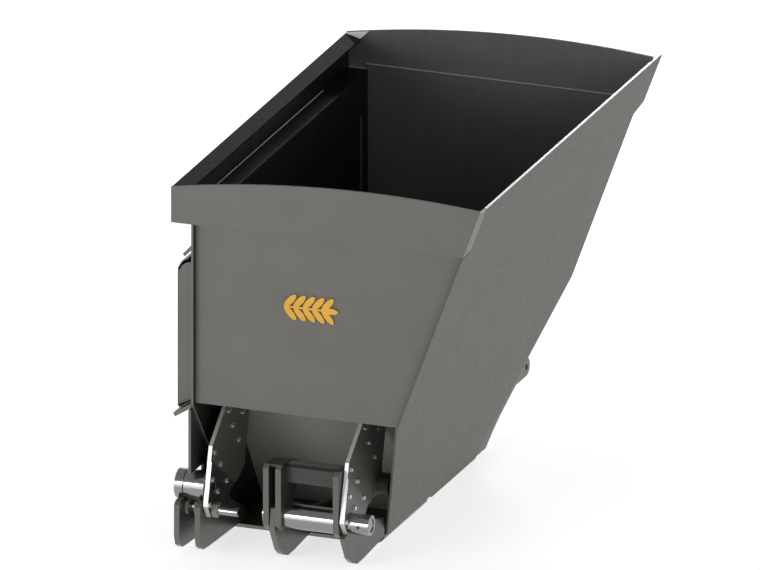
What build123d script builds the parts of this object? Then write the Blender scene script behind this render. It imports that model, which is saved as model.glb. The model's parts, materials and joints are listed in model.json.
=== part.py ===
"""Hopper body of a gravity wagon: steep grain box, side discharge door, front hinge gear.

Millimetres, +Z up, -Y is the front. The origin is the centre of the base plate's underside.
"""

from build123d import *
import os
from math import cos, radians, sin, sqrt, tan

os.makedirs("parts", exist_ok=True)

# ---------------------------------------------------------------- driving dimensions
PLATE = 10.0            # wall plate
BASE_T = 16.0           # base plate
BASE_CORNER_R = 40.0
HALF_LENGTH = 990.0     # side walls, fore and aft
LEFT_X = -322.0         # outer face of the upright left wall
FOOT_X = 322.0          # outer face of the leaning right wall at ground level
LEAN = 20.1             # lean of the right wall, degrees from upright
BEND_Z = 652.0          # where the walls' lower edges start to draw in
RIM_Z = 1414.0          # underside of the rim bands
RIGHT_TOP_Z = 1606.0    # top edge of the right wall
FRONT_FOOT_Y = -485.0   # foot of the side walls, front and back
BACK_FOOT_Y = 506.0

FRONT_SET_IN = 26.0     # front wall behind the side walls' front edges
SLOPE_FOOT_Y = -213.6   # underside of the front slope sheet, at the base plate
SLOPE_HEAD_Y = -953.6
SLOPE_HEAD_Z = 1184.0

RIM_LEFT_X = -408.0     # outer face of the rim's left band
ARCH_R = 4820.0         # arched top of the front and back bands
ARCH_X = 450.0
ARCH_Z = 1642.0
BACK_WALL_TOP_Z = 1443.0
BACK_BAND_BOTTOM_Z = 1375.0
RIM_TAIL_Y = 1093.0     # right wall's tail behind the back band
LEDGE_T = 6.0
REACH = 1500.0          # longer than the hopper is wide: rough length before a cut

DOOR_HALF = 945.0       # side door, half length
OPENING_HALF = 927.0    # opening behind it
OPENING_FOOT_Y = -600.0     # its lower front corner, inside the front slope sheet
OPENING_LOW_Z = 662.0
OPENING_KNEE_Z = 1150.0
OPENING_HIGH_Z = 1244.0
DOOR_OUT_X = -396.0     # outer face of the door
DOOR_AXIS_X = -340.0
DOOR_AXIS_Z = 1262.0
DOOR_PIN_R = 5.0
KNUCKLE_R = 9.0
HINGE_STATIONS = (-720.0, 0.0, 720.0)

SHAFT_Y = -918.0        # hinge shaft
SHAFT_Z = 206.0
SHAFT_R = 30.0
RUNNING = 0.06          # radial clearance of a running fit
SLEEVE_R = 51.0

BRACKET_T = 16.0        # bolted bracket: main plate
DOUBLER_T = 4.0         # bolted bracket: thin plate over its foot
BRACKET_STACK_T = BRACKET_T + DOUBLER_T
BRACKET_XS = (-271.6, 312.0)
BOLT_R = 6.0

ROLLER_Y = -918.0       # guide roller at the left
ROLLER_Z = 288.0
ROLLER_R = 62.0
ROLLER_AXLE_R = 20.0

ROD_Y = -926.0          # threaded adjuster rod
ROD_Z = 194.0
ROD_R = 17.5
ROD_CLEARANCE = 1.0

# ---------------------------------------------------------------- derived values
lean_tan = tan(radians(LEAN))
lean_cos = cos(radians(LEAN))
lean_sin = sin(radians(LEAN))
left_inner_x = LEFT_X + PLATE
front_face_y = -HALF_LENGTH + FRONT_SET_IN
slope_run = (SLOPE_FOOT_Y - SLOPE_HEAD_Y) / (SLOPE_HEAD_Z - BASE_T)
back_run = (HALF_LENGTH - BACK_FOOT_Y) / (BEND_Z - BASE_T)

# The plane of the right wall's outer face: local x runs aft, local y runs up the wall.
right_plane = Plane(origin=(FOOT_X, 0, 0), x_dir=(0, 1, 0), z_dir=(lean_cos, 0, -lean_sin))
right_inner_plane = right_plane.offset(-PLATE)


def lean_x(z):
    """Outer face of the right wall at height z."""
    return FOOT_X + lean_tan * z


def lean_inner_x(z):
    """Inner face of the right wall at height z."""
    return lean_x(z) - PLATE / lean_cos


def arch_z(x):
    """Top of the arched bands at x."""
    return ARCH_Z - ARCH_R + sqrt(ARCH_R**2 - (x - ARCH_X) ** 2)


def back_y(z):
    """Outer face of the back slope sheet at height z, flush with the side walls' lower edges."""
    return BACK_FOOT_Y + back_run * (z - BASE_T)


def side_piece(outline, x_low, thickness, holes=()):
    """A flat plate standing along the wagon: outline in (y, z), holes as (y, z, radius)."""
    with BuildPart() as piece:
        with BuildSketch(Plane.YZ.offset(x_low)):
            with BuildLine():
                Polyline(*outline, close=True)
            make_face()
            for y, z, radius in holes:
                with Locations((y, z)):
                    Circle(radius, mode=Mode.SUBTRACT)
        extrude(amount=thickness)
    return piece


def cross_piece(outline, y_low, thickness):
    """A flat plate or bar running along y: outline in (x, z)."""
    with BuildPart() as piece:
        with BuildSketch(Plane.XZ.offset(-y_low)):
            with BuildLine():
                Polyline(*outline, close=True)
            make_face()
        extrude(amount=-thickness)
    return piece


def round_bar(x_low, x_high, y, z, radius, bore=0.0):
    """A bar or tube along x."""
    with BuildPart() as piece:
        with BuildSketch(Plane.YZ.offset(x_low)):
            with Locations((y, z)):
                Circle(radius)
                if bore:
                    Circle(bore, mode=Mode.SUBTRACT)
        extrude(amount=x_high - x_low)
    return piece


pieces = {}

# ---------------------------------------------------------------- base plate
NOTCH_W = 52.0
NOTCH_DEPTH = 30.0
NOTCH_Y = 8.0
BASE_FRONT_Y = -574.0
BASE_BACK_Y = 566.0

with BuildPart() as base_plate:
    with BuildSketch():
        with Locations((0, (BASE_FRONT_Y + BASE_BACK_Y) / 2)):
            RectangleRounded(2 * FOOT_X, BASE_BACK_Y - BASE_FRONT_Y, BASE_CORNER_R)
        with Locations((FOOT_X, NOTCH_Y), (-FOOT_X, NOTCH_Y)):
            Rectangle(2 * NOTCH_DEPTH, NOTCH_W, mode=Mode.SUBTRACT)
    extrude(amount=BASE_T)
pieces["base_plate"] = base_plate

# ---------------------------------------------------------------- walls
with BuildPart() as left_wall:
    with BuildSketch(Plane.YZ.offset(LEFT_X)):
        with BuildLine():
            Polyline(
                (FRONT_FOOT_Y, BASE_T),
                (-HALF_LENGTH, BEND_Z),
                (-HALF_LENGTH, RIM_Z),
                (HALF_LENGTH, RIM_Z),
                (HALF_LENGTH, BEND_Z),
                (BACK_FOOT_Y, BASE_T),
                close=True,
            )
        make_face()
    extrude(amount=PLATE)
    with BuildSketch(Plane.YZ.offset(LEFT_X)):
        with BuildLine():
            Polyline(
                (OPENING_FOOT_Y, OPENING_LOW_Z),
                (-OPENING_HALF, OPENING_KNEE_Z),
                (-OPENING_HALF, OPENING_HIGH_Z),
                (OPENING_HALF, OPENING_HIGH_Z),
                (OPENING_HALF, OPENING_LOW_Z),
                close=True,
            )
        make_face()
    extrude(amount=PLATE, mode=Mode.SUBTRACT)
pieces["left_wall"] = left_wall

RETURN_Y = -903.0       # end of the front band's return along the right wall
RETURN_Z = RIM_Z        # underside of that return
SEAM = 4.0              # seam under the return
TAIL_LOW_Z = 1369.0     # the tail's lower edge, rising aft
TAIL_HIGH_Z = 1397.0

with BuildPart() as right_wall:
    with BuildSketch(right_plane):
        with BuildLine():
            Polyline(
                (FRONT_FOOT_Y + PLATE, 0),
                (FRONT_FOOT_Y, BASE_T / lean_cos),
                (-HALF_LENGTH, BEND_Z / lean_cos),
                (-HALF_LENGTH, (RETURN_Z - SEAM) / lean_cos),
                (RETURN_Y, (RETURN_Z - SEAM) / lean_cos),
                (RETURN_Y, RIGHT_TOP_Z / lean_cos),
                (RIM_TAIL_Y, RIGHT_TOP_Z / lean_cos),
                (RIM_TAIL_Y - PLATE, TAIL_HIGH_Z / lean_cos),
                (HALF_LENGTH, TAIL_LOW_Z / lean_cos),
                (HALF_LENGTH, BEND_Z / lean_cos),
                (BACK_FOOT_Y, BASE_T / lean_cos),
                (BACK_FOOT_Y - PLATE, 0),
                close=True,
            )
        make_face()
    extrude(amount=-PLATE)
    split(bisect_by=Plane.XY.offset(BASE_T), keep=Keep.TOP)
pieces["right_wall"] = right_wall


def wall_between_sides(z_low, z_high, x_low=left_inner_x):
    """Outline in (x, z) of a cross wall that ends on the leaning wall's inner face."""
    return (
        (x_low, z_low),
        (lean_inner_x(z_low), z_low),
        (lean_inner_x(z_high), z_high),
        (x_low, z_high),
    )


front_wall = cross_piece(wall_between_sides(BEND_Z, RIM_Z), front_face_y, PLATE)
pieces["front_wall"] = front_wall

back_wall = cross_piece(
    wall_between_sides(BEND_Z, BACK_WALL_TOP_Z, LEFT_X), HALF_LENGTH, PLATE
)
pieces["back_wall"] = back_wall

# ---------------------------------------------------------------- sloping sheets inside
slope_skew = PLATE * sqrt(1 + slope_run**2)
back_skew = PLATE * sqrt(1 + back_run**2)


def slope_sheet(outline):
    """A steep end sheet between the side walls: outline in (y, z)."""
    with BuildPart() as sheet:
        with BuildSketch(Plane.YZ.offset(left_inner_x)):
            with BuildLine():
                Polyline(*outline, close=True)
            make_face()
        extrude(amount=REACH)
        split(bisect_by=right_inner_plane, keep=Keep.BOTTOM)
    return sheet


pieces["front_slope_sheet"] = slope_sheet(
    (
        (SLOPE_FOOT_Y, BASE_T),
        (SLOPE_HEAD_Y, SLOPE_HEAD_Z),
        (SLOPE_HEAD_Y, SLOPE_HEAD_Z + slope_skew / slope_run),
        (SLOPE_FOOT_Y + slope_skew, BASE_T),
    )
)
pieces["back_slope_sheet"] = slope_sheet(
    (
        (BACK_FOOT_Y, BASE_T),
        (HALF_LENGTH, BEND_Z),
        (HALF_LENGTH, BEND_Z + back_skew / back_run),
        (BACK_FOOT_Y - back_skew, BASE_T),
    )
)

FLOOR_ANGLE = 22.0
FLOOR_LOW_Z = 656.0
FLOOR_T = 8.0
floor_tan = tan(radians(FLOOR_ANGLE))
floor_drop = FLOOR_T / cos(radians(FLOOR_ANGLE))
slope_top_y = SLOPE_FOOT_Y + slope_skew
slope_normal = Vector(0, 1, slope_run).normalized()
back_normal = Vector(0, 1, back_run).normalized()

with BuildPart() as sloping_floor:
    with BuildSketch(Plane.XZ.offset(HALF_LENGTH)):
        with BuildLine():
            Polyline(
                (left_inner_x, FLOOR_LOW_Z),
                (left_inner_x + REACH, FLOOR_LOW_Z + REACH * floor_tan),
                (left_inner_x + REACH, FLOOR_LOW_Z + REACH * floor_tan - floor_drop),
                (left_inner_x, FLOOR_LOW_Z - floor_drop),
                close=True,
            )
        make_face()
    extrude(amount=-2 * HALF_LENGTH)
    split(bisect_by=right_inner_plane, keep=Keep.BOTTOM)
    split(
        bisect_by=Plane(
            origin=(0, slope_top_y, BASE_T),
            z_dir=(0, slope_normal.Y, slope_normal.Z),
        ),
        keep=Keep.TOP,
    )
    split(
        bisect_by=Plane(
            origin=(0, BACK_FOOT_Y - back_skew, BASE_T),
            z_dir=(0, -back_normal.Y, back_normal.Z),
        ),
        keep=Keep.TOP,
    )
pieces["sloping_floor"] = sloping_floor

# ---------------------------------------------------------------- rim
BAND_REACH = 400.0      # rough height of a band before the arch cuts it


def arched_band(x_left, z_low, y_low, inner_end):
    """A cross band with an arched top, cut off on the right wall's outer or inner face."""
    with BuildPart() as band:
        with BuildSketch(Plane.XZ.offset(-y_low)):
            with Locations((ARCH_X, ARCH_Z - ARCH_R)):
                Circle(ARCH_R)
            with Locations((x_left, z_low)):
                Rectangle(REACH, BAND_REACH, align=(Align.MIN, Align.MIN), mode=Mode.INTERSECT)
        extrude(amount=-PLATE)
        cut = right_inner_plane if inner_end else right_plane
        split(bisect_by=cut, keep=Keep.BOTTOM)
    return band


front_band_plate = arched_band(RIM_LEFT_X, RIM_Z, -HALF_LENGTH, False)

with BuildPart() as rim_front_band:
    add(front_band_plate.part)
    with BuildSketch(right_plane):
        with BuildLine():
            Polyline(
                (-HALF_LENGTH + PLATE / 2, RETURN_Z / lean_cos),
                (RETURN_Y, RETURN_Z / lean_cos),
                (RETURN_Y, RIGHT_TOP_Z / lean_cos),
                (-HALF_LENGTH + PLATE / 2, RIGHT_TOP_Z / lean_cos),
                close=True,
            )
        make_face()
    extrude(amount=-PLATE)
pieces["rim_front_band"] = rim_front_band

pieces["rim_back_band"] = arched_band(
    RIM_LEFT_X, BACK_BAND_BOTTOM_Z, HALF_LENGTH + PLATE, True
)

FLANGE_INNER_X = -342.0
FLANGE_OUTER_Z = 1563.0
FLANGE_INNER_Z = 1547.0
LEFT_BAND_X = RIM_LEFT_X + PLATE

rim_left_band = cross_piece(
    (
        (RIM_LEFT_X, RIM_Z),
        (RIM_LEFT_X, FLANGE_OUTER_Z),
        (FLANGE_INNER_X, FLANGE_INNER_Z),
        (FLANGE_INNER_X - 2, FLANGE_INNER_Z - PLATE),
        (LEFT_BAND_X, FLANGE_OUTER_Z - PLATE - 2.5),
        (LEFT_BAND_X, RIM_Z),
    ),
    -HALF_LENGTH + PLATE,
    2 * HALF_LENGTH,
)
pieces["rim_left_band"] = rim_left_band

pieces["rim_left_ledge"] = cross_piece(
    (
        (LEFT_BAND_X, RIM_Z),
        (LEFT_BAND_X, RIM_Z + LEDGE_T),
        (left_inner_x, RIM_Z + LEDGE_T),
        (left_inner_x, RIM_Z),
    ),
    -HALF_LENGTH + PLATE,
    2 * HALF_LENGTH - PLATE,
)

pieces["rim_front_ledge"] = cross_piece(
    wall_between_sides(RIM_Z, RIM_Z + LEDGE_T),
    -HALF_LENGTH + PLATE,
    FRONT_SET_IN,
)

FILLER_LAP = 6.0
pieces["rim_corner_filler"] = cross_piece(
    (
        (RIM_LEFT_X + 4, FLANGE_OUTER_Z + 0.5),
        (FLANGE_INNER_X, FLANGE_INNER_Z + 0.5),
        (-310, arch_z(-310) - 2),
        (RIM_LEFT_X + 40, arch_z(RIM_LEFT_X + 40) - 2),
    ),
    HALF_LENGTH - FILLER_LAP,
    PLATE + FILLER_LAP,
)

# ---------------------------------------------------------------- side door and its surround
APRON_T = 16.0
APRON_OUT_X = -399.0
apron_slope = 0.607
apron_top_z = 654.0     # top of the apron at the left wall's outer face


def apron_z(x):
    """Top of the chute apron, which falls outwards."""
    return apron_top_z - apron_slope * (LEFT_X - x)


apron_skew = APRON_T * sqrt(1 + apron_slope**2)
pieces["chute_apron"] = cross_piece(
    (
        (LEFT_X, apron_top_z),
        (APRON_OUT_X, apron_z(APRON_OUT_X)),
        (APRON_OUT_X + 8, apron_z(APRON_OUT_X) - 15),
        (LEFT_X, apron_top_z - apron_skew),
    ),
    -HALF_LENGTH,
    2 * HALF_LENGTH,
)

DOOR_GAP = 2.0
pieces["door_cap_strip"] = cross_piece(
    (
        (LEFT_X, 1326),
        (-359, 1285),
        (-350, 1275),
        (LEFT_X, 1303),
    ),
    -HALF_LENGTH + DOOR_GAP,
    2 * (HALF_LENGTH - DOOR_GAP),
)

SKIN_T = 8.0
COVER_T = 4.0
skin_outer_x = LEFT_X - 1.0 - SKIN_T
SKIN_TOP_Z = 1250.0

pieces["door_skin"] = cross_piece(
    (
        (skin_outer_x, apron_z(skin_outer_x) + DOOR_GAP),
        (LEFT_X - 1.0, apron_z(LEFT_X - 1.0) + DOOR_GAP),
        (LEFT_X - 1.0, SKIN_TOP_Z),
        (skin_outer_x, SKIN_TOP_Z),
    ),
    -DOOR_HALF,
    2 * DOOR_HALF,
)

COVER_HEAD = (-350.5, 1256.0)
COVER_SHOULDER = (-379.0, 1239.0)
cover_foot_z = apron_z(DOOR_OUT_X) + DOOR_GAP

with BuildPart() as door_cover:
    with BuildSketch(Plane.XZ.offset(DOOR_HALF)):
        with BuildLine():
            FilletPolyline(
                COVER_HEAD,
                COVER_SHOULDER,
                (DOOR_OUT_X, 1208),
                (DOOR_OUT_X, cover_foot_z),
                (skin_outer_x - COVER_T, apron_z(skin_outer_x - COVER_T) + DOOR_GAP),
                radius=9,
            )
            offset(amount=-COVER_T, side=Side.LEFT, closed=True)
        make_face()
    extrude(amount=-2 * DOOR_HALF)
pieces["door_cover"] = door_cover

RIB_T = 8.0
rib_outer_x = DOOR_OUT_X + COVER_T + 1.0
rib_outline = (
    (skin_outer_x, apron_z(skin_outer_x) + DOOR_GAP + 9),
    (skin_outer_x, SKIN_TOP_Z - 10),
    (-354, 1236),
    (-374, 1224),
    (rib_outer_x, 1196),
    (rib_outer_x, cover_foot_z + 18),
)
RIB_STATIONS = (-DOOR_HALF, -560.0, -190.0, 180.0, 550.0, DOOR_HALF - RIB_T)
with BuildPart() as door_ribs:
    for rib_y in RIB_STATIONS:
        with BuildSketch(Plane.XZ.offset(-rib_y)):
            with BuildLine():
                Polyline(*rib_outline, close=True)
            make_face()
        extrude(amount=-RIB_T)
pieces["door_ribs"] = door_ribs

KNUCKLE_LENGTH = 60.0
LUG_T = 12.0
LUG_GAP = 1.0
with BuildPart() as door_knuckles:
    for station in HINGE_STATIONS:
        with BuildSketch(Plane.XZ.offset(-(station - KNUCKLE_LENGTH / 2))):
            with Locations((DOOR_AXIS_X, DOOR_AXIS_Z)):
                Circle(KNUCKLE_R)
            with BuildLine():
                Polyline(
                    (DOOR_AXIS_X, DOOR_AXIS_Z - 2),
                    (skin_outer_x, DOOR_AXIS_Z - 2),
                    (skin_outer_x, SKIN_TOP_Z - 40),
                    (skin_outer_x - 8, SKIN_TOP_Z - 40),
                    (DOOR_AXIS_X - 6, SKIN_TOP_Z - 2),
                    close=True,
                )
            make_face()
            with Locations((DOOR_AXIS_X, DOOR_AXIS_Z)):
                Circle(DOOR_PIN_R + RUNNING, mode=Mode.SUBTRACT)
        extrude(amount=-KNUCKLE_LENGTH)
pieces["door_knuckles"] = door_knuckles

with BuildPart() as door_hinge_lugs:
    for station in HINGE_STATIONS:
        for side in (-1, 1):
            near = KNUCKLE_LENGTH / 2 + LUG_GAP
            low_y = station + near if side == 1 else station - near - LUG_T
            with BuildSketch(Plane.XZ.offset(-low_y)):
                with Locations((DOOR_AXIS_X, DOOR_AXIS_Z)):
                    Circle(KNUCKLE_R)
                with BuildLine():
                    Polyline(
                        (DOOR_AXIS_X - 8, DOOR_AXIS_Z + 4),
                        (LEFT_X - 24, 1279),
                        (LEFT_X, 1302.9),
                        (LEFT_X, 1301),
                        (LEFT_X - 2, 1262),
                        (DOOR_AXIS_X + 8, DOOR_AXIS_Z - 4),
                        close=True,
                    )
                make_face()
                with Locations((DOOR_AXIS_X, DOOR_AXIS_Z)):
                    Circle(DOOR_PIN_R + RUNNING, mode=Mode.SUBTRACT)
            extrude(amount=-LUG_T)
pieces["door_hinge_lugs"] = door_hinge_lugs

PIN_OVERHANG = 3.0
pin_half = KNUCKLE_LENGTH / 2 + LUG_GAP + LUG_T + PIN_OVERHANG
with BuildPart() as door_hinge_pins:
    for station in HINGE_STATIONS:
        with BuildSketch(Plane.XZ.offset(-(station - pin_half))):
            with Locations((DOOR_AXIS_X, DOOR_AXIS_Z)):
                Circle(DOOR_PIN_R)
        extrude(amount=-2 * pin_half)
        with BuildSketch(Plane.XZ.offset(-(station - pin_half - 4))):
            with Locations((DOOR_AXIS_X, DOOR_AXIS_Z)):
                Circle(DOOR_PIN_R + 3)
        extrude(amount=-4)
pieces["door_hinge_pins"] = door_hinge_pins

# ---------------------------------------------------------------- bolted front brackets
BRACKET_OUTLINE = (
    (-766, 580),
    (-923, 460),
    (-988, 224),
    (-951, 168),
    (-770, 168),
    (-718, 216),
    (-638, 224),
    (-556, 262),
    (-542, 344),
    (-506, 470),
    (-530, 508),
    (-590, 604),
)
DOUBLER_OUTLINE = (
    (-939.5, 400),
    (-988, 224),
    (-951, 168),
    (-770, 168),
    (-718, 216),
    (-677, 220),
)
PLATE_BOLTS = (
    (-898, 428),
    (-830, 356),
    (-738, 552),
    (-582, 496),
    (-694, 476),
    (-626, 392),
)
DOUBLER_BOLTS = (
    (-934, 324),
    (-876, 256),
    (-972, 228),
    (-772, 268),
)
STUB_Y = -602.0
STUB_Z = 270.0
STUB_R = 48.0
STUB_BORE_R = 24.0

BOLT_CLEARANCE = 0.1
plate_holes = tuple((y, z, BOLT_R + BOLT_CLEARANCE) for y, z in PLATE_BOLTS)
doubler_holes = tuple((y, z, BOLT_R + BOLT_CLEARANCE) for y, z in DOUBLER_BOLTS)
shaft_hole = ((SHAFT_Y, SHAFT_Z, SHAFT_R + RUNNING),)
rod_hole = ((ROD_Y, ROD_Z, ROD_R + ROD_CLEARANCE),)
axle_hole = ((ROLLER_Y, ROLLER_Z, ROLLER_AXLE_R),)

left_x, right_x = BRACKET_XS
bracket_holes = {"left": rod_hole + axle_hole, "right": shaft_hole}
for side, x_low in (("left", left_x), ("right", right_x)):
    pieces[side + "_bracket"] = side_piece(
        BRACKET_OUTLINE, x_low, BRACKET_T, plate_holes + doubler_holes + bracket_holes[side]
    )
    pieces[side + "_bracket_doubler"] = side_piece(
        DOUBLER_OUTLINE, x_low + BRACKET_T, DOUBLER_T, doubler_holes + bracket_holes[side]
    )

WASHER_R = 12.0
WASHER_T = 2.5
HEX_R = 10.5
HEX_T = 7.5


def bracket_bolts(x_low):
    """Hexagon screws with round collars, from the plate's back at x_low to the heads."""
    rows = ((PLATE_BOLTS, x_low + BRACKET_T), (DOUBLER_BOLTS, x_low + BRACKET_STACK_T))
    with BuildPart() as bolts:
        for places, x_face in rows:
            with BuildSketch(Plane.YZ.offset(x_low)):
                with Locations(*places):
                    Circle(BOLT_R)
            extrude(amount=x_face - x_low)
            with BuildSketch(Plane.YZ.offset(x_face)):
                with Locations(*places):
                    Circle(WASHER_R)
            extrude(amount=WASHER_T)
            with BuildSketch(Plane.YZ.offset(x_face + WASHER_T)):
                with Locations(*places):
                    RegularPolygon(HEX_R, 6)
            extrude(amount=HEX_T)
    return bolts


pieces["left_bracket_bolts"] = bracket_bolts(left_x)
pieces["right_bracket_bolts"] = bracket_bolts(right_x)

STUB_LENGTH = 58.0
stub_x = right_x + BRACKET_STACK_T
pieces["left_stub_boss"] = round_bar(
    left_inner_x, left_x, STUB_Y, STUB_Z, STUB_R, STUB_BORE_R
)
pieces["right_stub_boss"] = round_bar(
    stub_x, stub_x + STUB_LENGTH, STUB_Y, STUB_Z, STUB_R, STUB_BORE_R
)

# ---------------------------------------------------------------- lugs under the front
LUG_PLATE_T = 24.0
CENTRE_LUG_X = 12.0
LUG_TOE = (
    (-990, 160),
    (-930, 58),
    (-894, 30),
    (-838, 6),
    (-766, 6),
    (-614, BASE_T),
)

with BuildPart() as centre_lug:
    with BuildSketch(Plane.YZ.offset(CENTRE_LUG_X)):
        with BuildLine():
            Polyline(
                *LUG_TOE,
                (-230, BASE_T),
                (-262, 62),
                (-560, 120),
                (-800, 230),
                (-860, 262),
                (-975, 250),
                close=True,
            )
        make_face()
        with Locations((SHAFT_Y, SHAFT_Z)):
            Circle(SLEEVE_R, mode=Mode.SUBTRACT)
    extrude(amount=LUG_PLATE_T)
pieces["centre_lug"] = centre_lug

pieces["centre_bush"] = round_bar(
    CENTRE_LUG_X - 1, CENTRE_LUG_X + LUG_PLATE_T + 1, SHAFT_Y, SHAFT_Z, SLEEVE_R, SHAFT_R + RUNNING
)

pieces["right_lug"] = side_piece(
    (*LUG_TOE, (-530, BASE_T), (-530, 100), (-770, 168), (-951, 168)), right_x, BRACKET_STACK_T
)

# ---------------------------------------------------------------- link frame on the hinge shaft
LINK_XS = (-14.4, 38.0, 284.0)
LINK_T = 24.0
LINK_OUTLINE = (
    (-990, 180),
    (-990, 420),
    (-974, 436),
    (-870, 428),
    (-780, 398),
    (-780, 352),
    (-846, 240),
    (-846, 184),
    (-876, 152),
    (-958, 152),
)
link_names = ("link_plate_left", "link_plate_middle", "link_plate_right")
for name, x_low in zip(link_names, LINK_XS):
    pieces[name] = side_piece(LINK_OUTLINE, x_low, LINK_T, shaft_hole)

pieces["link_tube"] = round_bar(
    LINK_XS[1] + LINK_T, LINK_XS[2], SHAFT_Y, SHAFT_Z, SLEEVE_R, SHAFT_R + RUNNING
)
pieces["link_top_cover"] = side_piece(
    ((-974, 436), (-870, 428), (-780, 398), (-783, 388), (-872, 417), (-974, 425)),
    LINK_XS[0] + LINK_T,
    LINK_XS[1] - LINK_XS[0] - LINK_T,
)
pieces["link_cross_bar"] = side_piece(
    ((-934, 352), (-934, 416), (-922, 428), (-870, 424), (-800, 402), (-800, 390), (-916, 414),
     (-922, 408), (-922, 352)),
    LINK_XS[1] + LINK_T,
    LINK_XS[2] - LINK_XS[1] - LINK_T,
)

# ---------------------------------------------------------------- hinge shaft and its retainers
SHAFT_LEFT_X = -34.0
COLLAR_X = 334.0
COLLAR_LENGTH = 88.0
COLLAR_R = 42.0
CROSS_PIN_X = 380.0
CROSS_PIN_R = 7.0
END_STEP = 4.0          # how far the shaft's ends stand off their retainers' faces
RING_WALL = 12.0
RING_GAP = 2.0

with BuildPart() as hinge_shaft:
    with BuildSketch(Plane.YZ.offset(SHAFT_LEFT_X)):
        with Locations((SHAFT_Y, SHAFT_Z)):
            Circle(SHAFT_R)
    extrude(amount=COLLAR_X + COLLAR_LENGTH - END_STEP - SHAFT_LEFT_X)
    with Locations((CROSS_PIN_X, SHAFT_Y, SHAFT_Z)):
        Cylinder(CROSS_PIN_R, 3 * COLLAR_R, rotation=(90, 0, 0), mode=Mode.SUBTRACT)
pieces["hinge_shaft"] = hinge_shaft

with BuildPart() as shaft_collar:
    with BuildSketch(Plane.YZ.offset(COLLAR_X)):
        with Locations((SHAFT_Y, SHAFT_Z)):
            Circle(COLLAR_R)
            Circle(SHAFT_R, mode=Mode.SUBTRACT)
    extrude(amount=COLLAR_LENGTH)
    with Locations((CROSS_PIN_X, SHAFT_Y, SHAFT_Z)):
        Cylinder(CROSS_PIN_R, 3 * COLLAR_R, rotation=(90, 0, 0), mode=Mode.SUBTRACT)
pieces["shaft_collar"] = shaft_collar

with BuildPart() as collar_pin:
    with Locations((CROSS_PIN_X, SHAFT_Y, SHAFT_Z)):
        Cylinder(CROSS_PIN_R, 2 * (COLLAR_R - END_STEP), rotation=(90, 0, 0))
pieces["collar_pin"] = collar_pin

pieces["shaft_end_ring"] = round_bar(
    SHAFT_LEFT_X + END_STEP, LINK_XS[0] - RING_GAP, SHAFT_Y, SHAFT_Z, SHAFT_R + RING_WALL, SHAFT_R
)

# ---------------------------------------------------------------- guide roller and adjuster at the left
EAR_T = 24.0
OUTER_EAR_X = -388.0
INNER_EAR_X = -299.0
EAR_OUTLINE = (
    (-998, 236),
    (-1010, 224),
    (-1010, 90),
    (-998, 54),
    (-970, 36),
    (-908, 30),
    (-600, BASE_T),
    (-500, BASE_T),
    (-500, 60),
    (-800, 230),
    (-850, 262),
)
SPACER_Y = -596.0
SPACER_LENGTH = 80.0
SPACER_TOP_Z = 46.0
CAP_LENGTH = 36.0
ROLLER_GAP = 2.0
CAP_X = OUTER_EAR_X - (CAP_LENGTH - EAR_T)

with BuildPart() as outer_ear:
    with BuildSketch(Plane.YZ.offset(OUTER_EAR_X)):
        with BuildLine():
            Polyline(*EAR_OUTLINE, close=True)
        make_face()
        with Locations((ROLLER_Y, ROLLER_Z)):
            Circle(ROLLER_R, mode=Mode.SUBTRACT)
    extrude(amount=EAR_T)
pieces["outer_ear"] = outer_ear

with BuildPart() as inner_ear:
    with BuildSketch(Plane.YZ.offset(INNER_EAR_X)):
        with BuildLine():
            Polyline(*EAR_OUTLINE, close=True)
        make_face()
        with Locations((ROLLER_Y, ROLLER_Z)):
            Circle(ROLLER_R + ROLLER_GAP, mode=Mode.SUBTRACT)
        with Locations((ROD_Y, ROD_Z)):
            Circle(ROD_R + ROD_CLEARANCE, mode=Mode.SUBTRACT)
    extrude(amount=EAR_T)
pieces["inner_ear"] = inner_ear

pieces["ear_spacer"] = cross_piece(
    (
        (OUTER_EAR_X + EAR_T, BASE_T),
        (INNER_EAR_X, BASE_T),
        (INNER_EAR_X, SPACER_TOP_Z),
        (OUTER_EAR_X + EAR_T, SPACER_TOP_Z),
    ),
    SPACER_Y,
    SPACER_LENGTH,
)

pieces["roller_cap"] = round_bar(
    CAP_X, CAP_X + CAP_LENGTH, ROLLER_Y, ROLLER_Z, ROLLER_R, ROLLER_AXLE_R
)

ROLLER_CHAMFER = 2.0
roller_x = CAP_X + CAP_LENGTH + ROLLER_GAP
with BuildPart() as guide_roller:
    with BuildSketch(Plane.YZ.offset(roller_x)):
        with Locations((ROLLER_Y, ROLLER_Z)):
            Circle(ROLLER_R)
            Circle(ROLLER_AXLE_R + RUNNING, mode=Mode.SUBTRACT)
    extrude(amount=left_x - ROLLER_GAP - roller_x)
    rim_edges = guide_roller.edges().filter_by(GeomType.CIRCLE).group_by(SortBy.RADIUS)[-1]
    chamfer(rim_edges, ROLLER_CHAMFER)
pieces["guide_roller"] = guide_roller

pieces["roller_axle"] = round_bar(
    CAP_X + END_STEP, left_x + BRACKET_STACK_T, ROLLER_Y, ROLLER_Z, ROLLER_AXLE_R
)

ROD_LEFT_X = OUTER_EAR_X + EAR_T
ROD_RIGHT_X = -142.0
ROD_CHAMFER = 2.5
with BuildPart() as adjuster_rod:
    with BuildSketch(Plane.YZ.offset(ROD_LEFT_X)):
        with Locations((ROD_Y, ROD_Z)):
            Circle(ROD_R)
    extrude(amount=ROD_RIGHT_X - ROD_LEFT_X)
    chamfer(adjuster_rod.edges().filter_by(GeomType.CIRCLE), ROD_CHAMFER)
pieces["adjuster_rod"] = adjuster_rod

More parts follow.
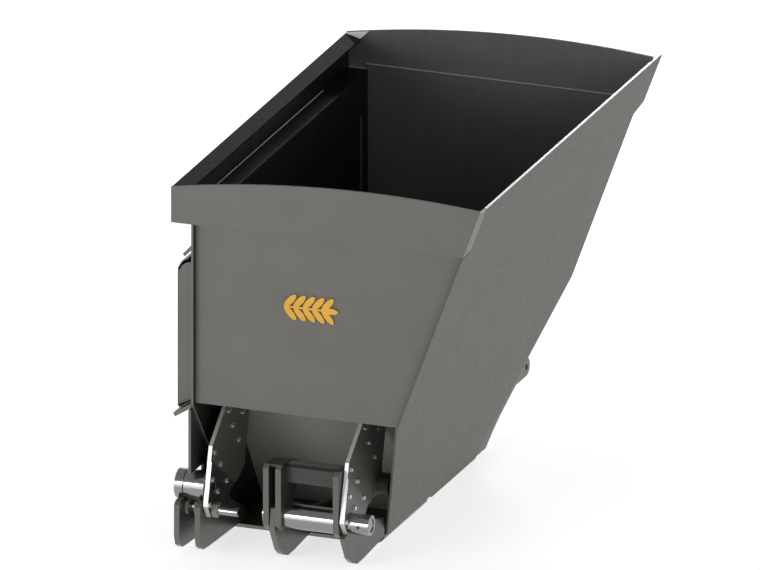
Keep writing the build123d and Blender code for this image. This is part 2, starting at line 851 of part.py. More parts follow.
NUT_LENGTH = 26.0
JAM_NUT_LENGTH = 13.0
ROD_NUTS = (
    (ROD_LEFT_X, JAM_NUT_LENGTH),
    (INNER_EAR_X - NUT_LENGTH, NUT_LENGTH),
    (left_x + BRACKET_STACK_T, NUT_LENGTH),
)
NUT_R = 32.0
with BuildPart() as adjuster_nuts:
    for nut_x, nut_length in ROD_NUTS:
        with BuildSketch(Plane.YZ.offset(nut_x)):
            with Locations((ROD_Y, ROD_Z)):
                RegularPolygon(NUT_R, 6)
                Circle(ROD_R, mode=Mode.SUBTRACT)
        extrude(amount=nut_length)
pieces["adjuster_nuts"] = adjuster_nuts

CARRIER_TOP_Z = 626.0
CARRIER_T = 12.0
pieces["left_carrier_plate"] = side_piece(
    (
        (-990, CARRIER_TOP_Z),
        (-990, 356),
        (-846, 356),
        (-846, 200),
        (-700, 120),
        (-420, 60),
        (-420, CARRIER_TOP_Z),
    ),
    LEFT_X - CARRIER_T,
    CARRIER_T,
)

# ---------------------------------------------------------------- rear brackets with hitch eyes
REAR_EYE_Y = 1082.0
REAR_EYE_Z = 208.0
REAR_EYE_R = 38.0
REAR_HOLE_R = 13.0
GUSSET_TOP_Z = 470.0


def rear_bracket(x_low):
    """A gusset behind the back slope sheet, drawn out to a hitch eye."""
    with BuildPart() as bracket:
        with BuildSketch(Plane.YZ.offset(x_low)):
            with BuildLine():
                Polyline(
                    (BACK_FOOT_Y, BASE_T),
                    (620, BASE_T),
                    (700, 62),
                    (780, 100),
                    (960, REAR_EYE_Z - REAR_EYE_R),
                    (REAR_EYE_Y, REAR_EYE_Z - REAR_EYE_R),
                    (REAR_EYE_Y, REAR_EYE_Z + REAR_EYE_R),
                    (960, REAR_EYE_Z + REAR_EYE_R),
                    (900, 330),
                    (back_y(GUSSET_TOP_Z), GUSSET_TOP_Z),
                    close=True,
                )
            make_face()
            with Locations((REAR_EYE_Y, REAR_EYE_Z)):
                Circle(REAR_EYE_R)
                Circle(REAR_HOLE_R, mode=Mode.SUBTRACT)
        extrude(amount=BRACKET_STACK_T)
    return bracket


pieces["left_rear_bracket"] = rear_bracket(left_x)
pieces["right_rear_bracket"] = rear_bracket(right_x)

# ---------------------------------------------------------------- raised emblem on the front wall
EMBLEM_T = 8.0
EMBLEM_X = 183.0
EMBLEM_Z = 1112.0
STEM_LENGTH = 232.0
STEM_W = 8.0
KERNEL_RADII = (36.0, 13.0)
KERNEL_TILT = 48.0
KERNEL_PITCH = 40.0
KERNEL_COUNT = 5
KERNEL_OFFSET = 26.0
FIRST_KERNEL = 88.0
front_emblem_plane = Plane.XZ.offset(-(front_face_y - EMBLEM_T))
kernel_x = [EMBLEM_X - FIRST_KERNEL + KERNEL_PITCH * i for i in range(KERNEL_COUNT)]

with BuildPart() as front_emblem:
    with BuildSketch(front_emblem_plane):
        with Locations((EMBLEM_X, EMBLEM_Z)):
            SlotOverall(STEM_LENGTH, STEM_W)
        for side in (-1, 1):
            for x in kernel_x:
                with Locations(Location((x, EMBLEM_Z + side * KERNEL_OFFSET), side * KERNEL_TILT)):
                    Ellipse(*KERNEL_RADII)
        with Locations((EMBLEM_X + STEM_LENGTH / 2 - KERNEL_RADII[0], EMBLEM_Z)):
            Ellipse(*KERNEL_RADII)
    extrude(amount=-EMBLEM_T)
pieces["front_emblem"] = front_emblem

# ---------------------------------------------------------------- write one file per piece
for name, piece in pieces.items():
    piece.part.label = name
    export_step(piece.part, f"parts/{name}.step")
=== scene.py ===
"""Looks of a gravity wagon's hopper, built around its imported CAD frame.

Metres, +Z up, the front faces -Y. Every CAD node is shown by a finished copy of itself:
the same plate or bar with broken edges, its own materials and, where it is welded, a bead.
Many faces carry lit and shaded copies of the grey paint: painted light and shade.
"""

import json
import math

import bmesh
import bpy
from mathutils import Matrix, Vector


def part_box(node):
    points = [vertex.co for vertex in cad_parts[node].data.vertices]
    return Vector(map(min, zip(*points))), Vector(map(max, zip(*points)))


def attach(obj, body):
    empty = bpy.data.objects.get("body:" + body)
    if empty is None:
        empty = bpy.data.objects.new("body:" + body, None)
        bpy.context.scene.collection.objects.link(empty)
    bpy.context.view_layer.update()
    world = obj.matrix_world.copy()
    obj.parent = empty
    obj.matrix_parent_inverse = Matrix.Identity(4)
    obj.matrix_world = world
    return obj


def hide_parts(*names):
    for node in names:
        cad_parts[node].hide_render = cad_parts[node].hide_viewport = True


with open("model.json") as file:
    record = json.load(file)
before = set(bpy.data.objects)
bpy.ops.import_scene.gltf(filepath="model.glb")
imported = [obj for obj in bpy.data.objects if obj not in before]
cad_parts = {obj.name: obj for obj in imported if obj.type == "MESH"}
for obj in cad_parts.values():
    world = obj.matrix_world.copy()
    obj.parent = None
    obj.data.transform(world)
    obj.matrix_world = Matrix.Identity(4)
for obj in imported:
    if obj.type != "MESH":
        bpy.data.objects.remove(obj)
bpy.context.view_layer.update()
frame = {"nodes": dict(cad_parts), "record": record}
nodes = frame["nodes"]
record = frame["record"]
body_of = {n: b for b, members in record["behaviour"]["bodies"].items() for n in members}
slot_of = {row["node"]: row["material_slot"] for row in record["subparts"]}

# ---------------------------------------------------------------- camera, floor and lights
AZIMUTH = math.radians(20.65)
ELEVATION = math.radians(19.45)
LOOK_AT = Vector((0.0023, 0.2933, 0.7747))
VIEW_WIDTH = 3.04
CAMERA_DISTANCE = 12.0


def towards(azimuth, elevation):
    """Unit vector from the object towards a viewer: azimuth 0 is in front, 90 at the right."""
    return Vector((
        math.sin(azimuth) * math.cos(elevation),
        -math.cos(azimuth) * math.cos(elevation),
        math.sin(elevation),
    ))


def make_camera():
    data = bpy.data.cameras.new("camera")
    data.type = "ORTHO"
    data.ortho_scale = VIEW_WIDTH
    data.clip_end = 100.0
    camera = bpy.data.objects.new("camera", data)
    back = towards(AZIMUTH, ELEVATION)
    camera.location = LOOK_AT + CAMERA_DISTANCE * back
    camera.rotation_mode = "QUATERNION"
    camera.rotation_quaternion = (-back).to_track_quat("-Z", "Y")
    bpy.context.scene.collection.objects.link(camera)
    bpy.context.scene.camera = camera


def add_softbox(name, azimuth, elevation, distance, size, power):
    """A soft rectangular light that faces the middle of the hopper."""
    data = bpy.data.lights.new(name, "AREA")
    data.shape = "RECTANGLE"
    data.size, data.size_y = size
    data.energy = power
    lamp = bpy.data.objects.new(name, data)
    away = towards(math.radians(azimuth), math.radians(elevation))
    lamp.location = LOOK_AT + distance * away
    lamp.rotation_mode = "QUATERNION"
    lamp.rotation_quaternion = away.to_track_quat("Z", "Y")
    bpy.context.scene.collection.objects.link(lamp)


def make_studio():
    """Pale floor, a tent that is bright at the horizon and dim overhead, and soft boxes."""
    world = bpy.data.worlds.new("tent")
    world.use_nodes = True
    tree = world.node_tree
    background = tree.nodes["Background"]
    background.inputs["Strength"].default_value = 1.0
    where = tree.nodes.new("ShaderNodeTexCoord")
    split = tree.nodes.new("ShaderNodeSeparateXYZ")
    ramp = tree.nodes.new("ShaderNodeValToRGB")
    ramp.color_ramp.elements[0].position = 0.18
    ramp.color_ramp.elements[0].color = (1.0, 1.0, 1.0, 1)
    ramp.color_ramp.elements[1].position = 0.55
    ramp.color_ramp.elements[1].color = (0.16, 0.16, 0.165, 1)
    tree.links.new(where.outputs["Generated"], split.inputs[0])
    tree.links.new(split.outputs["Z"], ramp.inputs[0])
    tree.links.new(ramp.outputs["Color"], background.inputs["Color"])
    bpy.context.scene.world = world
    bpy.context.scene.view_settings.view_transform = "Standard"

    mesh = bpy.data.meshes.new("floor")
    half = 40.0
    mesh.from_pydata([(-half, -half, 0), (half, -half, 0), (half, half, 0), (-half, half, 0)],
                     [], [(0, 1, 2, 3)])
    floor = bpy.data.objects.new("floor", mesh)
    floor.location.z = -0.001
    bpy.context.scene.collection.objects.link(floor)
    pale, shader = new_material("pale_floor")
    shader.inputs["Base Color"].default_value = (0.86, 0.86, 0.86, 1)
    shader.inputs["Roughness"].default_value = 0.9
    shader.inputs["Specular IOR Level"].default_value = 0.1
    shader.inputs["Emission Color"].default_value = (1, 1, 1, 1)
    shader.inputs["Emission Strength"].default_value = 0.68
    mesh.materials.append(pale)

    add_softbox("key_box", 40, 22, 7.0, (4.0, 2.4), 18)
    add_softbox("front_box", -22, 10, 7.0, (3.0, 1.2), 92)
    add_softbox("back_box", 182, 27, 7.0, (1.8, 0.7), 110)


# ---------------------------------------------------------------- materials
def new_material(name):
    material = bpy.data.materials.new(name)
    material.use_nodes = True
    return material, material.node_tree.nodes["Principled BSDF"]


class Surface:
    """Node helpers for one procedural material. Patterns are in the piece's own metres."""

    def __init__(self, name):
        self.material, self.shader = new_material(name)
        self.tree = self.material.node_tree
        self.place = self.node("ShaderNodeTexCoord").outputs["Object"]

    def node(self, kind, **values):
        made = self.tree.nodes.new(kind)
        for key, value in values.items():
            setattr(made, key, value)
        return made

    def join(self, source, target):
        self.tree.links.new(source, target)

    def noise(self, scale, detail=3.0, stretch=(1, 1, 1)):
        """Grey noise; stretch squeezes the pattern along each axis."""
        mapping = self.node("ShaderNodeMapping")
        mapping.inputs["Scale"].default_value = stretch
        self.join(self.place, mapping.inputs["Vector"])
        made = self.node("ShaderNodeTexNoise")
        made.inputs["Scale"].default_value = scale
        made.inputs["Detail"].default_value = detail
        self.join(mapping.outputs[0], made.inputs["Vector"])
        return made.outputs[0]

    def remap(self, value, low, high, to_low, to_high):
        made = self.node("ShaderNodeMapRange")
        for socket, number in zip((1, 2, 3, 4), (low, high, to_low, to_high)):
            made.inputs[socket].default_value = number
        self.join(value, made.inputs[0])
        return made.outputs[0]

    def blend(self, amount, first, second):
        """Colour mix; first and second are colours or sockets."""
        made = self.node("ShaderNodeMix", data_type="RGBA")
        self.join(amount, made.inputs[0])
        for socket, colour in ((6, first), (7, second)):
            if isinstance(colour, tuple):
                made.inputs[socket].default_value = (*colour, 1)
            else:
                self.join(colour, made.inputs[socket])
        return made.outputs[2]

    def times(self, first, second):
        made = self.node("ShaderNodeMath", operation="MULTIPLY")
        self.join(first, made.inputs[0])
        self.join(second, made.inputs[1])
        return made.outputs[0]

    def worn_edges(self, radius):
        """1 along outer edges within about the radius, 0 on flats."""
        bevel = self.node("ShaderNodeBevel", samples=4)
        bevel.inputs["Radius"].default_value = radius
        flat = self.node("ShaderNodeNewGeometry").outputs["Normal"]
        dot = self.node("ShaderNodeVectorMath", operation="DOT_PRODUCT")
        self.join(bevel.outputs[0], dot.inputs[0])
        self.join(flat, dot.inputs[1])
        return self.remap(dot.outputs["Value"], 0.995, 0.90, 0.0, 1.0)

    def bump(self, height, strength, distance):
        made = self.node("ShaderNodeBump")
        made.inputs["Strength"].default_value = strength
        made.inputs["Distance"].default_value = distance
        self.join(height, made.inputs["Height"])
        self.join(made.outputs[0], self.shader.inputs["Normal"])

    def settle(self, colour, roughness):
        self.join(colour, self.shader.inputs["Base Color"])
        self.join(roughness, self.shader.inputs["Roughness"])


def shade(colour, factor):
    return tuple(channel * factor for channel in colour)


DUST = (0.24, 0.22, 0.185)


def painted(name, colour, gloss=(0.38, 0.50), dust=0.10, edge=0.5, sheen=0.5):
    """Satin enamel: cloudy colour, orange peel, rubbed edges, dust low down, fine scratches."""
    made = Surface(name)
    made.shader.inputs["Specular IOR Level"].default_value = sheen
    cloudy = made.blend(
        made.remap(made.noise(4.0, 5.0), 0.3, 0.7, 0, 1), shade(colour, 0.95), shade(colour, 1.04)
    )
    speck = made.remap(made.noise(260.0, 2.0), 0.62, 0.75, 0, 0.05)
    speckled = made.blend(speck, cloudy, shade(colour, 1.5))
    scratch = made.remap(made.noise(9.0, 6.0, (1.0, 22.0, 1.0)), 0.68, 0.74, 0, 0.08)
    scratched = made.blend(scratch, speckled, shade(colour, 1.35))
    split = made.node("ShaderNodeSeparateXYZ")
    made.join(made.place, split.inputs[0])
    low = made.remap(split.outputs["Z"], 0.0, 0.45, dust, 0.0)
    dusty = made.blend(
        made.times(low, made.remap(made.noise(24.0, 6.0), 0.35, 0.65, 0.2, 1)),
        scratched,
        DUST,
    )
    rubbed = made.remap(made.noise(38.0, 4.0), 0.35, 0.6, 0.0, edge)
    finished = made.blend(made.times(made.worn_edges(0.0025), rubbed), dusty, shade(colour, 1.6))
    made.settle(finished, made.remap(made.noise(55.0, 4.0), 0.3, 0.7, *gloss))
    made.bump(made.noise(420.0, 2.0), 0.05, 0.0004)
    return made.material


def inside_shade_coat(name, colour, gloss=(0.34, 0.46)):
    """Painted shade for inside faces: a dark copy of the paint, with faint marks where grain slides
    down.
    """
    made = Surface(name)
    made.shader.inputs["Specular IOR Level"].default_value = 0.3
    slide = made.remap(made.noise(30.0, 6.0, (1.0, 1.0, 0.05)), 0.45, 0.75, 0, 0.16)
    cloud = made.remap(made.noise(3.0, 4.0), 0.3, 0.7, 0, 1)
    base = made.blend(cloud, shade(colour, 0.9), shade(colour, 1.1))
    marked = made.blend(slide, base, shade(colour, 1.45))
    made.settle(marked, made.remap(made.noise(40.0, 5.0, (1.0, 1.0, 0.1)), 0.3, 0.7, *gloss))
    made.bump(made.noise(160.0, 3.0, (1.0, 1.0, 0.2)), 0.08, 0.0004)
    return made.material


def bright_steel(name, colour=(0.74, 0.74, 0.73), gloss=(0.07, 0.16)):
    """Ground and chromed bar: fine rings along X, cloudy polish, painted shade that makes it darker
    where it faces level or down.
    """
    made = Surface(name)
    made.shader.inputs["Metallic"].default_value = 1.0
    tint = made.blend(made.remap(made.noise(60.0, 4.0), 0.3, 0.7, 0, 1), shade(colour, 0.93), colour)
    facing = made.node("ShaderNodeSeparateXYZ")
    made.join(made.node("ShaderNodeNewGeometry").outputs["Normal"], facing.inputs[0])
    # Painted shade: the colour darkens where the bar faces level or down.
    painted_under_shade = made.remap(facing.outputs["Z"], 0.24, 0.04, 0.0, 0.80)
    tint = made.blend(painted_under_shade, tint, shade(colour, 0.22))
    made.settle(tint, made.remap(made.noise(90.0, 5.0), 0.3, 0.7, *gloss))
    made.bump(made.noise(700.0, 2.0, (1.0, 0.02, 0.02)), 0.06, 0.0003)
    return made.material


def plated(name):
    """Zinc plating: matt grey-white, slightly mottled."""
    made = Surface(name)
    made.shader.inputs["Metallic"].default_value = 1.0
    mottle = made.remap(made.noise(300.0, 4.0), 0.3, 0.7, 0, 1)
    tint = made.blend(mottle, (0.62, 0.63, 0.62), (0.84, 0.84, 0.82))
    made.settle(tint, made.remap(made.noise(240.0, 3.0), 0.3, 0.7, 0.16, 0.32))
    made.bump(made.noise(900.0, 2.0), 0.08, 0.0002)
    return made.material


def highlight_metal(name):
    """Painted highlight on edges: pale steel colour, with fine lines across the plate."""
    made = Surface(name)
    made.shader.inputs["Metallic"].default_value = 0.2
    grain = made.remap(made.noise(220.0, 3.0), 0.3, 0.7, 0, 1)
    tint = made.blend(grain, (0.80, 0.80, 0.79), (0.97, 0.97, 0.96))
    made.settle(tint, made.remap(made.noise(300.0, 3.0), 0.3, 0.7, 0.28, 0.42))
    made.bump(made.noise(500.0, 2.0, (1.0, 0.1, 1.0)), 0.10, 0.0003)
    return made.material


def weld_metal(name, colour):
    """Painted weld: a little rougher and darker than the plate."""
    made = Surface(name)
    cloud = made.remap(made.noise(150.0, 4.0), 0.3, 0.7, 0, 1)
    tint = made.blend(cloud, shade(colour, 0.75), shade(colour, 1.1))
    made.settle(tint, made.remap(made.noise(200.0, 3.0), 0.3, 0.7, 0.35, 0.6))
    made.bump(made.noise(500.0, 3.0), 0.25, 0.0005)
    return made.material


GREY = (0.112, 0.109, 0.097)
LIT_GREY = (0.235, 0.230, 0.210)
INSIDE_SHADE_GREY = (0.085, 0.085, 0.083)
DEEP_SHADE_BLACK = (0.010, 0.010, 0.009)
YELLOW = (0.66, 0.35, 0.026)

# Shades of one grey paint: their differences stand in for the light of the matched view.
grey_paint = painted("grey_paint", GREY)
# Painted shade: a darker copy of the grey paint on the running gear.
gear_shade_paint = painted("gear_shade_paint", shade(GREY, 0.85), gloss=(0.30, 0.42))
# Painted shadow: a dark copy of the grey paint on base plate and link tops, +X faces, left doublers and
# bosses.
shadow_paint = painted("bracket_shadow_paint", shade(GREY, 0.28), gloss=(0.26, 0.40), edge=0.8)
# Painted shade on the faces inside the hopper.
inside_shade = inside_shade_coat("inside_shade_coat", shade(INSIDE_SHADE_GREY, 1.6))
# Painted deep shade on the left wall's inside, the door skin's inner face and the left rim's inner and
# lower faces.
deep_shade = inside_shade_coat("deep_shade_coat", DEEP_SHADE_BLACK, gloss=(0.40, 0.52))
# Painted shade: a dark copy of the grey paint on the left rim flange's top.
flange_shade_paint = painted("flange_shade_paint", shade(GREY, 0.16), gloss=(0.60, 0.72), dust=0.0, sheen=0.12)
# Painted light: a pale copy of the grey paint on the base plate front, the front slope sheet, the cross
# bar top and the nuts.
lit_paint = painted("lit_paint", LIT_GREY)
# Painted light and shade: a copy of the grey paint on front faces of lugs, ears and links, on the rim
# top edges and on the right doubler.
edge_light_and_shade = painted("edge_light_and_shade", shade(LIT_GREY, 0.44))
# Painted highlight: a pale copy of the grey paint on the brackets' front faces.
front_edge_highlight = painted("front_edge_highlight", shade(LIT_GREY, 2.1), dust=0.0)
# Painted shade: a darker copy of the grey paint on the right wall's outside.
side_shade_paint = painted("side_shade_paint", shade(GREY, 0.86), gloss=(0.46, 0.58), sheen=0.22)
# Painted light: a lighter copy of the grey paint for the right bracket's plate.
right_bracket_lit_paint = painted("right_bracket_lit_paint", shade(GREY, 0.95), gloss=(0.26, 0.40), edge=0.8)
chrome = bright_steel("ground_chrome")
zinc = plated("zinc_plate")
# Painted highlight: near-white colour on wall and band tops, the rim corner filler, the brackets' upward
# front faces and the left ledge bead.
painted_highlight = highlight_metal("painted_highlight")
weld_paint = weld_metal("painted_weld", shade(GREY, 0.85))
yellow_paint = painted("yellow_paint", YELLOW, gloss=(0.32, 0.45), dust=0.0, edge=0.2)
SLOT_MATERIAL = {
    "grey_paint": grey_paint,
    "bright_steel": chrome,
    "plated_screws": zinc,
    "emblem_yellow": yellow_paint,
}


# ---------------------------------------------------------------- finished copies of the CAD nodes
def shown(name, mesh, body, replaced=()):
    """Adds a mesh as a piece of the object."""
    piece = bpy.data.objects.new(name, mesh)
    bpy.context.scene.collection.objects.link(piece)
    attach(piece, body)
    if replaced:
        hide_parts(*replaced)
    return piece


def clean_mesh(node):
    """The node's mesh with its seams joined and its flat faces made whole."""
    work = bmesh.new()
    work.from_mesh(nodes[node].data)
    bmesh.ops.remove_doubles(work, verts=work.verts, dist=2e-6)
    bmesh.ops.dissolve_limit(
        work, angle_limit=math.radians(0.4), verts=work.verts, edges=work.edges
    )
    return work


def finished(node, bevel=0.0012, main=None, others=()):
    """A copy with broken edges. others is a list of (material, test on face centre and normal)."""
    work = clean_mesh(node)
    mesh = bpy.data.meshes.new(node + "_finished")
    materials = [main or SLOT_MATERIAL[slot_of[node]]] + [material for material, _ in others]
    for face in work.faces:
        face.smooth = True
        centre, normal = face.calc_center_median(), face.normal
        for index, (_, test) in enumerate(others, start=1):
            if test(centre, normal):
                face.material_index = index
                break
    work.to_mesh(mesh)
    work.free()
    for material in materials:
        mesh.materials.append(material)
    mesh.set_sharp_from_angle(angle=math.radians(30))
    piece = shown(node + "_finished", mesh, body_of[node], [node])
    if bevel:
        rounding = piece.modifiers.new("broken_edges", "BEVEL")
        rounding.width = bevel
        rounding.segments = 2
        rounding.limit_method = "ANGLE"
        rounding.angle_limit = math.radians(35)
        rounding.harden_normals = True
    return piece


def box_test(axis, sign, least=0.9):
    """True for faces that look along one axis."""
    return lambda centre, normal: sign * normal[axis] > least


left_inner_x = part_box("left_wall")[1].x
back_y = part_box("back_wall")[0].y
LEAN = math.radians(20.1)
lean_normal = Vector((math.cos(LEAN), 0, -math.sin(LEAN)))


def inner_lean(centre, normal):
    return normal.dot(lean_normal) < -0.98


def make_walls():
    top_edge = box_test(2, 1, 0.9)
    finished("base_plate", 0.0015, others=[
        (shadow_paint, box_test(2, 1)),
        (lit_paint, box_test(1, -1)),
    ])
    finished("left_wall", others=[(deep_shade, lambda c, n: n.x > 0.9)])
    finished("right_wall", main=side_shade_paint, others=[
        (inside_shade, inner_lean),
        (painted_highlight, lambda c, n: n.z > 0.9 and c.z > 1.5),
    ])
    finished("front_wall", others=[(inside_shade, box_test(1, 1))])
    finished("back_wall", others=[(inside_shade, box_test(1, -1)), (painted_highlight, top_edge)])
    finished("front_slope_sheet", main=lit_paint, others=[(inside_shade, lambda c, n: n.z > 0.4)])
    finished("back_slope_sheet", others=[(inside_shade, lambda c, n: n.z > 0.4 and n.y < 0)])
    finished("sloping_floor", main=inside_shade)


def make_rim():
    finished("rim_front_band", others=[
        (inside_shade, lambda c, n: n.y > 0.9 or inner_lean(c, n)),
        (edge_light_and_shade, lambda c, n: n.z > 0.9 and c.z > 1.5),
    ])
    finished("rim_back_band", others=[
        (inside_shade, box_test(1, -1)),
        (edge_light_and_shade, lambda c, n: n.z > 0.9 and c.z > 1.4),
    ])
    finished("rim_left_band", others=[
        (flange_shade_paint, lambda c, n: n.z > 0.9 and c.z > 1.5),
        (deep_shade, lambda c, n: n.x > 0.5 or n.z < -0.5),
    ])
    finished("rim_left_ledge", main=deep_shade)
    finished("rim_front_ledge", main=inside_shade)
    finished("rim_corner_filler", 0.0006, main=painted_highlight)


def make_door():
    for node in ("chute_apron", "door_cap_strip", "door_cover", "door_ribs", "door_knuckles",
                 "door_hinge_lugs"):
        finished(node)
    finished("door_skin", others=[(deep_shade, box_test(0, 1))])
    finished("door_hinge_pins", 0.0008)


# Lit and shaded copies of the grey paint for each bracket's plate and doubler.
BRACKET_LIGHT_AND_SHADE = {"left": (gear_shade_paint, shadow_paint), "right": (right_bracket_lit_paint, edge_light_and_shade)}


def make_gear():
    """Brackets, lugs, ears and the link frame."""
    for side in ("left", "right"):
        plate_light_and_shade, doubler_light_and_shade = BRACKET_LIGHT_AND_SHADE[side]
        faces = {"_bracket": plate_light_and_shade, "_bracket_doubler": doubler_light_and_shade}
        for name, paint in faces.items():
            finished(side + name, main=paint, others=[
                (painted_highlight, lambda c, n: n.y < -0.9 and abs(n.x) < 0.1 and n.z > 0.1),
                (front_edge_highlight, lambda c, n: n.y < -0.5 and abs(n.x) < 0.1),
                (grey_paint, lambda c, n: abs(n.x) < 0.1),
            ])
        finished(side + "_rear_bracket")
        finished(side + "_stub_boss", main=shadow_paint)
    for node in ("centre_lug", "right_lug", "outer_ear", "inner_ear", "ear_spacer",
                 "left_carrier_plate"):
        finished(node, 0.0015, main=gear_shade_paint,
                 others=[(edge_light_and_shade, box_test(1, -1, 0.7)), (shadow_paint, box_test(0, 1))])
    for node in ("link_plate_left", "link_plate_middle", "link_plate_right"):
        finished(node, 0.0015, main=gear_shade_paint, others=[(edge_light_and_shade, box_test(1, -1, 0.7)),
                                       (shadow_paint, box_test(0, 1)),
                                       (shadow_paint, lambda c, n: n.z > 0.8)])
    finished("link_top_cover", 0.0015, main=shadow_paint)
    finished("link_cross_bar", 0.0015, main=shadow_paint, others=[(lit_paint, box_test(2, 1))])
    for node in ("link_tube", "centre_bush", "guide_roller", "roller_cap", "roller_axle",
                 "hinge_shaft", "shaft_collar", "shaft_end_ring", "adjuster_rod"):
        finished(node, 0.0015)
    finished("collar_pin", 0.001, main=shadow_paint)
    finished("front_emblem", 0.0015)


# ---------------------------------------------------------------- screws and nuts
def solid_boxes(node):
    """Lowest and highest corner of each separate solid of a node."""
    work = clean_mesh(node)
    left, boxes = set(work.verts), []
    while left:
        front, island = [left.pop()], []
        while front:
            vert = front.pop()
            island.append(vert.co.copy())
            for edge in vert.link_edges:
                other = edge.other_vert(vert)
                if other in left:
                    left.remove(other)
                    front.append(other)
        boxes.append(tuple(
            Vector(pick(point[axis] for point in island) for axis in range(3)) for pick in (min, max)
        ))
    work.free()
    return boxes


def turned(work, stations, centre, flat=None, around=48):
    """Adds a solid turned about X. stations are (x, radius); flat is a hexagon's half width."""
    rings = []
    for x, radius in stations:
        ring = []
        for step in range(around):
            angle = 2 * math.pi * step / around
            reach = radius
            if flat:
                reach = min(radius, flat / math.cos(angle % (math.pi / 3) - math.pi / 6))
            ring.append(work.verts.new(
                (x, centre[0] + reach * math.cos(angle), centre[1] + reach * math.sin(angle))
            ))
        rings.append(ring)
    for first, second in zip(rings, rings[1:]):
        for step in range(around):
            following = (step + 1) % around
            work.faces.new((first[step], first[following], second[following], second[step]))
    work.faces.new(rings[0][::-1])
    work.faces.new(rings[-1])


def mesh_from(work, name, material):
    bmesh.ops.recalc_face_normals(work, faces=work.faces)
    for face in work.faces:
        face.smooth = True
    mesh = bpy.data.meshes.new(name)
    work.to_mesh(mesh)
    work.free()
    mesh.materials.append(material)
    mesh.set_sharp_from_angle(angle=math.radians(28))
    return mesh


WASHER_T = 0.0025
HEAD_T = 0.0075
HEAD_HALF_WIDTH = 0.0091
SHANK_R = 0.006
WASHER_EDGE = 0.0006
HEAD_STEP = 0.0008
DOME_STEP = 0.0003
HEAD_RIM_R = 0.0082
DOME_R = 0.0072
DOME_TOP_R = 0.0045
CHAMFER_STEPS = 4


def hexagon_stations(x_low, x_high, flat, both_ends=False):
    """Stations of a hexagon with its corners turned off at a 30 degree chamfer."""
    corner = flat / math.cos(math.pi / 6)
    inner = 0.94 * flat
    drop = (corner - inner) * math.tan(math.radians(30))
    steps = [i / CHAMFER_STEPS for i in range(CHAMFER_STEPS + 1)]
    top = [(x_high - drop * (1 - t), corner + (inner - corner) * t) for t in steps]
    if not both_ends:
        return [(x_low, corner)] + top
    bottom = [(x_low + drop * (1 - t), corner + (inner - corner) * t) for t in reversed(steps)]
    return bottom + top


def make_screws():
    for node in ("left_bracket_bolts", "right_bracket_bolts"):
        work = bmesh.new()
        for low, high in solid_boxes(node):
            centre = ((low.y + high.y) / 2, (low.z + high.z) / 2)
            radius = (high.y - low.y) / 2
            head = high.x - HEAD_T
            face = head - WASHER_T
            turned(work, [(low.x, SHANK_R), (face, SHANK_R)], centre)
            washer = [(face, radius), (head - WASHER_EDGE, radius), (head, radius - WASHER_EDGE)]
            turned(work, washer, centre)
            hexagon = hexagon_stations(head, high.x - HEAD_STEP, HEAD_HALF_WIDTH)
            turned(work, hexagon, centre, flat=HEAD_HALF_WIDTH)
            dome = [
                (high.x - HEAD_STEP, HEAD_RIM_R),
                (high.x - DOME_STEP, DOME_R),
                (high.x, DOME_TOP_R),
            ]
            turned(work, dome, centre)
        shown(node + "_finished", mesh_from(work, node, zinc), body_of[node], [node])


def make_nuts():
    node = "adjuster_nuts"
    work = bmesh.new()
    for low, high in solid_boxes(node):
        centre = ((low.y + high.y) / 2, (low.z + high.z) / 2)
        flat = (high.z - low.z) / 2
        turned(work, hexagon_stations(low.x, high.x, flat, both_ends=True), centre, flat=flat)
    # The nuts take the pale copy of the grey paint: painted light.
    shown(node + "_finished", mesh_from(work, node, lit_paint), body_of[node], [node])


# ---------------------------------------------------------------- weld beads
BEAD_STEP = 0.003
RIPPLE = 0.007


def bead(name, body, points, radius, material=None):
    """A rippled weld bead along a line of points."""
    material = material or weld_paint
    work = bmesh.new()
    around = 8
    for start, end in zip(points, points[1:]):
        start, end = Vector(start), Vector(end)
        along = end - start
        side = along.orthogonal().normalized()
        up = along.normalized().cross(side)
        count = max(2, int(along.length / BEAD_STEP))
        rings = []
        for step in range(count + 1):
            share = step / count
            swell = 1 + 0.10 * math.sin(2 * math.pi * share * along.length / RIPPLE)
            if step in (0, count):
                swell = 0.55
            reach = radius * swell
            middle = start + along * share
            rings.append([
                work.verts.new(middle + reach * (
                    math.cos(2 * math.pi * i / around) * side + math.sin(2 * math.pi * i / around) * up
                ))
                for i in range(around)
            ])
        for first, second in zip(rings, rings[1:]):
            for i in range(around):
                following = (i + 1) % around
                work.faces.new((first[i], first[following], second[following], second[i]))
        work.faces.new(rings[0][::-1])
        work.faces.new(rings[-1])
    return shown(name, mesh_from(work, name, material), body)


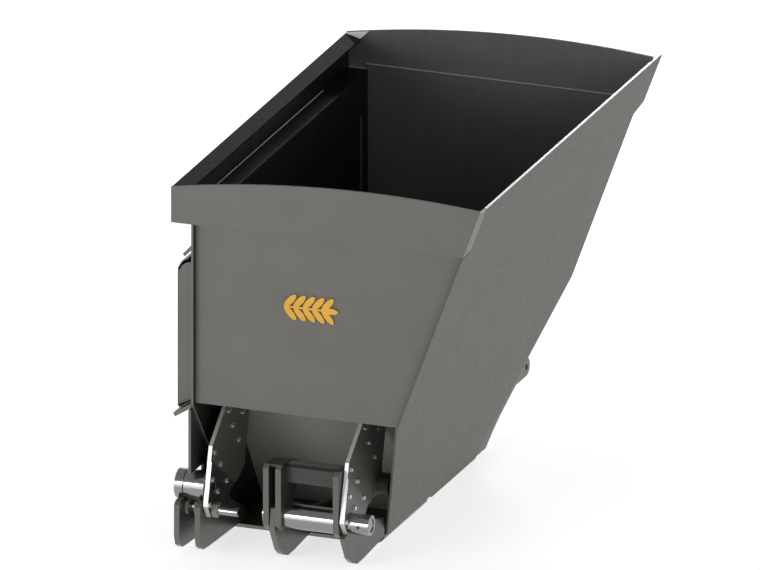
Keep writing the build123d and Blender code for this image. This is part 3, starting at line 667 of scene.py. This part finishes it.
def foot_beads():
    """Beads where the lugs and ears stand on the base plate."""
    base_low, base_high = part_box("base_plate")
    for node in ("centre_lug", "right_lug", "outer_ear", "inner_ear"):
        low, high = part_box(node)
        start_y = base_low.y + 0.004
        end_y = min(high.y, -0.24) - 0.006
        for x, side in ((low.x, "left"), (high.x, "right")):
            bead(f"{node}_{side}_weld", "hopper",
                 [(x, start_y, base_high.z), (x, end_y, base_high.z)], 0.0035)


def plate_beads():
    """A seam up the front wall's left edge and rings round the feet of the stub bosses."""
    front_low, front_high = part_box("front_wall")
    bead("front_left_seam", "hopper",
         [(front_low.x, front_low.y, front_low.z + 0.01),
          (front_low.x, front_low.y, front_high.z - 0.01)],
         0.0015)
    for side in ("left", "right"):
        low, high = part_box(side + "_stub_boss")
        middle_y, middle_z = (low.y + high.y) / 2, (low.z + high.z) / 2
        radius = (high.y - low.y) / 2
        root = high.x if side == "left" else low.x
        ring = [2 * math.pi * i / 24 for i in range(25)]
        bead(side + "_stub_weld", "hopper",
             [(root, middle_y + radius * math.cos(a), middle_z + radius * math.sin(a)) for a in ring],
             0.0030)


def corner_bead():
    """Weld up the back right corner, where the two walls of the frame touch only along a line."""
    wall_low, wall_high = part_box("back_wall")
    band_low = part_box("rim_back_band")[0]
    run = math.tan(LEAN)
    ends = [(wall_high.x - (wall_high.z - z) * run, wall_low.y, z)
            for z in (wall_low.z + 0.004, band_low.z)]
    bead("back_right_corner_weld", "hopper", ends, 0.0035)


def rim_beads():
    """Seams round the mouth: a bead on the left ledge coloured as a painted highlight, stitches on the
    back wall.
    """
    ledge_low, ledge_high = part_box("rim_left_ledge")
    bead("left_ledge_weld", "hopper",
         [(ledge_low.x + 0.008, ledge_low.y + 0.03, ledge_high.z),
          (ledge_low.x + 0.008, ledge_high.y - 0.30, ledge_high.z)],
         0.0022, painted_highlight)
    stitch, gap = 0.040, 0.012
    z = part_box("back_wall")[1].z - 0.052
    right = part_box("back_wall")[1].x - 0.03
    x, number = left_inner_x + 0.02, 0
    while x + stitch < right:
        bead(f"back_stitch_{number:02d}", "hopper", [(x, back_y, z), (x + stitch, back_y, z)],
             0.0010, weld_paint)
        x += stitch + gap
        number += 1


make_camera()
make_studio()
make_walls()
make_rim()
make_door()
make_gear()
make_screws()
make_nuts()
foot_beads()
plate_beads()
corner_bead()
rim_beads()
